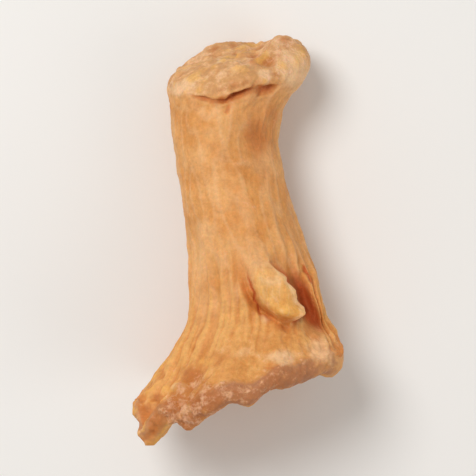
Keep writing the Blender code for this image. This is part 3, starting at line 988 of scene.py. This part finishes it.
class ChanterelleForm(bpy.types.PropertyGroup):
    """Sizes of the mushroom's details."""

    sides: IntProperty(name="Sides", description="Mesh sides round the stem", default=560, min=16)
    rows: IntProperty(name="Rows", description="Mesh rows from foot to cap", default=400, min=16)
    triangles: IntProperty(
        name="Triangles", description="Triangles kept in the finished mesh", default=196000, min=1000,
    )
    fold_height: length("Fold height", "Height of the forked folds", 1.0 * MM)
    short_fold_height: length("Short fold height", "Height of the folds between the forks", 0.42 * MM)
    vein_height: length("Vein height", "Height of the veins that join the folds", 0.30 * MM)
    wrinkle_height: length("Wrinkle height", "Height of the dry skin's wrinkles", 0.13 * MM)
    ray_height: length("Ray height", "Height of the cap's ripples from its middle out", 0.30 * MM)
    knot_height: length("Knot height", "Height of the knots on the torn lobe and the foot", 0.75 * MM)
    fibre_height: length("Fibre height", "Height of the stem's lengthwise fibres", 0.07 * MM)
    pit_depth: length("Pit depth", "Depth of the small pits", 0.11 * MM)
    grit_height: length("Grit height", "Height of the finest roughness", 0.06 * MM)


class ChanterelleLook(bpy.types.PropertyGroup):
    """Colours and finish of the flesh."""

    stem_colour: colour("Stem", "Orange of the stem", (0.76, 0.315, 0.080))
    pale_colour: colour("Pale flesh", "Pale pinkish-tan patches", (0.84, 0.46, 0.18))
    deep_colour: colour("Streaks", "Darker orange streaks on the stem", (0.64, 0.21, 0.042))
    # Also the colour of painted highlights among the pale blotches.
    film_and_highlight_colour: colour("Film", "Pinkish-white film of dried skin", (0.94, 0.60, 0.33))
    # Also painted shade in the stem's hollow, under the crease and in some red blotches.
    bruise_and_shade_colour: colour("Bruise on stem", "Brownish hollow on the stem", (0.58, 0.19, 0.045))
    # Painted shade between the folds, in the cap's ripples and along the flap's root; also the flap's
    # darker streaks.
    valley_colour: colour("Valleys", "Deeper orange between the folds", (0.70, 0.235, 0.045))
    crest_colour: colour("Crests", "Yellow crests of the folds", (0.84, 0.43, 0.13))
    cap_colour: colour("Cap", "Upper side of the cap", (0.78, 0.35, 0.07))
    bruise_colour: colour("Bruise on cap", "Darker patches on the cap", (0.46, 0.16, 0.04))
    raw_colour: colour("Raw margin", "Pinkish-tan raw edge", (0.44, 0.180, 0.088))
    cut_colour: colour("Cut foot", "Cut face of the foot", (0.71, 0.355, 0.138))
    flap_colour: colour("Flap", "Yellow torn flap", (0.90, 0.48, 0.11))
    # Deep red painted shade in the crevice, the cracks and the crease.
    crevice_shade_colour: colour("Crevice", "Deep red crevice", (0.62, 0.125, 0.028))
    frost_colour: colour("Frost", "Pinkish-white frost", (0.86, 0.50, 0.30))
    roughness: FloatProperty(name="Roughness", description="Roughness of the flesh", default=0.56)
    bump_depth: length("Bump depth", "Depth of the finest grain", 0.16 * MM)
    glow: FloatProperty(name="Glow", description="Share of light that scatters inside", default=0.22)
    glow_depth: length("Glow depth", "How deep light scatters", 1.6 * MM)


class ChanterelleStage(bpy.types.PropertyGroup):
    """Table, light and camera."""

    table_colour: colour("Table", "Colour of the table", (0.86, 0.84, 0.81))
    table_size: length("Table size", "Side of the table", 4.0)
    lens: FloatProperty(name="Lens", description="Focal length in millimetres", default=300.0)
    margin: FloatProperty(name="Margin", description="Picture height over object length", default=1.16)
    key_power: power("Key light", "Power of the key light", 1.6)
    fill_power: power("Fill light", "Power of the fill light", 0.4)
    sky: FloatProperty(name="Sky", description="Brightness of the even light", default=0.45)


# ---------------------------------------------------------------- operators


DETAILS = (
    "fold_height", "short_fold_height", "vein_height", "wrinkle_height", "ray_height",
    "knot_height", "fibre_height", "pit_depth", "grit_height",
)


class CHANTERELLE_OT_flesh(bpy.types.Operator):
    """Model the mushroom's flesh and give it its material"""

    bl_idname = "chanterelle.flesh"
    bl_label = "Mushroom"

    def execute(self, context):
        form, look = context.scene.chanterelle_form, context.scene.chanterelle_look
        degrees, share, faces = closed_grid(form.sides, form.rows)
        fine = SimpleNamespace(**{name: getattr(form, name) / MM for name in DETAILS})
        points, traits = mushroom_surface(degrees, share, fine)
        points = within_solid(points + shift_onto_solid())
        mesh = bpy.data.meshes.new("mushroom flesh")
        mesh.from_pydata(points, [], faces)
        places = points / MM
        traits["frost"] = frost_cover(places, traits)
        traits["pale"] = blotches(places, PALE_AND_HIGHLIGHT_SPOTS) * (1.0 - traits["top"])
        traits["red"] = blotches(places, RED_AND_SHADE_SPOTS) * (1.0 - traits["top"])
        keep_traits(mesh, traits)
        mesh.shade_smooth()
        mesh.materials.append(flesh_material(look))
        mushroom = bpy.data.objects.new("mushroom_flesh", mesh)
        context.scene.collection.objects.link(mushroom)
        thin_out(mushroom, form.triangles)
        keep_inside(mushroom.data)
        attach(mushroom, BODY)
        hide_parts(NODE)
        return {"FINISHED"}


def blotches(points, spots):
    """Strength of the blotches on each vertex of the upper side."""
    x, y, z = points.T
    height, size, seed = BLOTCH_WANDER
    wander = height * lumps(points, size, seed)
    strength = np.zeros_like(x)
    for across, along, half_across, half_along, full in spots:
        gap = np.hypot((x - across - wander) / half_across, (y - along + wander) / half_along)
        strength = np.maximum(strength, full * hump(gap, 0.0, 1.0))
    return strength * ease(*BLOTCHES_BEGIN, z)


def frost_cover(points, traits):
    """How much frost lies on each vertex, from 0 to 1."""
    x, y, z = points.T
    across, along, half_across, half_along = LEFT_FROST
    lower_left = hump(np.hypot((x - across) / half_across, (y - along) / half_along), 0.0, 1.0)
    lower_left = lower_left * ease(*LEFT_FROST_BEGINS, z)
    across, along, half_width = KNOB_FROST
    knob = hump(np.hypot(x - across, y - along), 0.0, half_width)
    foot = traits["face"] * (FACE_FROST_SHARE + KNOB_FROST_SHARE * knob)
    worn = WORN_FROST_SHARE * ease(*WORN_FROST, traits["worn"])
    patches = ease(*FROST_PATCHES_BEGIN, lumps(points, *FROST_PATCHES))
    cover = LEFT_FROST_SHARE * lower_left + foot + worn
    cover = cover + BAND_FROST_SHARE * traits["band"] + FROST_PATCHES_SHARE * patches
    return np.clip(cover, 0.0, 1.0)


def thin_out(piece, triangles):
    """Apply a Decimate modifier that leaves so many triangles."""
    have = sum(len(face.vertices) - 2 for face in piece.data.polygons)
    modifier = piece.modifiers.new("fewer triangles", "DECIMATE")
    modifier.ratio = min(1.0, triangles / have)
    evaluated = piece.evaluated_get(bpy.context.evaluated_depsgraph_get())
    thinner = bpy.data.meshes.new_from_object(evaluated)
    piece.modifiers.clear()
    coarse, piece.data = piece.data, thinner
    bpy.data.meshes.remove(coarse)


def keep_inside(mesh):
    """Clip the mesh to the solid's box again, because thinning moves its vertices a little."""
    places = np.empty(len(mesh.vertices) * 3)
    mesh.vertices.foreach_get("co", places)
    mesh.vertices.foreach_set("co", within_solid(places.reshape(-1, 3)).ravel())
    mesh.update()


class CHANTERELLE_OT_stage(bpy.types.Operator):
    """Set the table, the lights, the even sky and the camera that looks straight down"""

    bl_idname = "chanterelle.stage"
    bl_label = "Table, light and camera"

    def execute(self, context):
        scene, stage = context.scene, context.scene.chanterelle_stage
        bpy.ops.mesh.primitive_plane_add(size=stage.table_size, location=(0.0, 0.0, SOLID_LOW.z))
        table = context.object
        table.name = "table"
        table.data.materials.append(plain_material("pale table", stage.table_colour, TABLE_ROUGHNESS))

        middle = (SOLID_LOW + SOLID_HIGH) / 2
        reach = (SOLID_HIGH - SOLID_LOW).length
        lights = ((KEY_LIGHT, stage.key_power), (FILL_LIGHT, stage.fill_power))
        for (name, place, size), watts in lights:
            self.light(scene, name, middle, reach * Vector(place), reach * size, watts)

        world = bpy.data.worlds.new("even sky")
        world.use_nodes = True
        background = world.node_tree.nodes["Background"]
        background.inputs["Color"].default_value = SKY_COLOUR
        background.inputs["Strength"].default_value = stage.sky
        scene.world = world
        scene.view_settings.view_transform = "Standard"

        lens = bpy.data.cameras.new("camera")
        lens.lens = stage.lens
        camera = bpy.data.objects.new("camera", lens)
        scene.collection.objects.link(camera)
        half_angle = math.atan(lens.sensor_width / 2 / lens.lens)
        away = (SOLID_HIGH.y - SOLID_LOW.y) * stage.margin / 2 / math.tan(half_angle)
        camera.location = middle + Vector((0.0, 0.0, away))
        lens.clip_start, lens.clip_end = away / 50, away * 50
        scene.camera = camera
        return {"FINISHED"}

    @staticmethod
    def light(scene, name, target, offset, size, power):
        lamp = bpy.data.lights.new(name, "AREA")
        lamp.shape = "DISK"
        lamp.size = size
        lamp.energy = power
        source = bpy.data.objects.new(name, lamp)
        source.location = target + offset
        source.rotation_euler = (-offset).to_track_quat("-Z", "Y").to_euler()
        scene.collection.objects.link(source)


class CHANTERELLE_PT_panel(bpy.types.Panel):
    """Buttons and settings of the chanterelle mushroom"""

    bl_label = "Chanterelle mushroom"
    bl_space_type = "VIEW_3D"
    bl_region_type = "UI"
    bl_category = "Chanterelle"

    def draw(self, context):
        scene = context.scene
        groups = (
            (CHANTERELLE_OT_flesh, (scene.chanterelle_form, scene.chanterelle_look)),
            (CHANTERELLE_OT_stage, (scene.chanterelle_stage,)),
        )
        for operator, settings in groups:
            box = self.layout.box()
            box.operator(operator.bl_idname)
            for group in settings:
                for name in group.__annotations__:
                    box.prop(group, name)


CLASSES = (
    ChanterelleForm,
    ChanterelleLook,
    ChanterelleStage,
    CHANTERELLE_OT_flesh,
    CHANTERELLE_OT_stage,
    CHANTERELLE_PT_panel,
)


def register():
    for one in CLASSES:
        bpy.utils.register_class(one)
    bpy.types.Scene.chanterelle_form = PointerProperty(type=ChanterelleForm)
    bpy.types.Scene.chanterelle_look = PointerProperty(type=ChanterelleLook)
    bpy.types.Scene.chanterelle_stage = PointerProperty(type=ChanterelleStage)


def unregister():
    del bpy.types.Scene.chanterelle_stage
    del bpy.types.Scene.chanterelle_look
    del bpy.types.Scene.chanterelle_form
    for one in reversed(CLASSES):
        bpy.utils.unregister_class(one)


def main():
    register()
    bpy.ops.chanterelle.stage()
    bpy.ops.chanterelle.flesh()


if __name__ == "__main__":
    main()
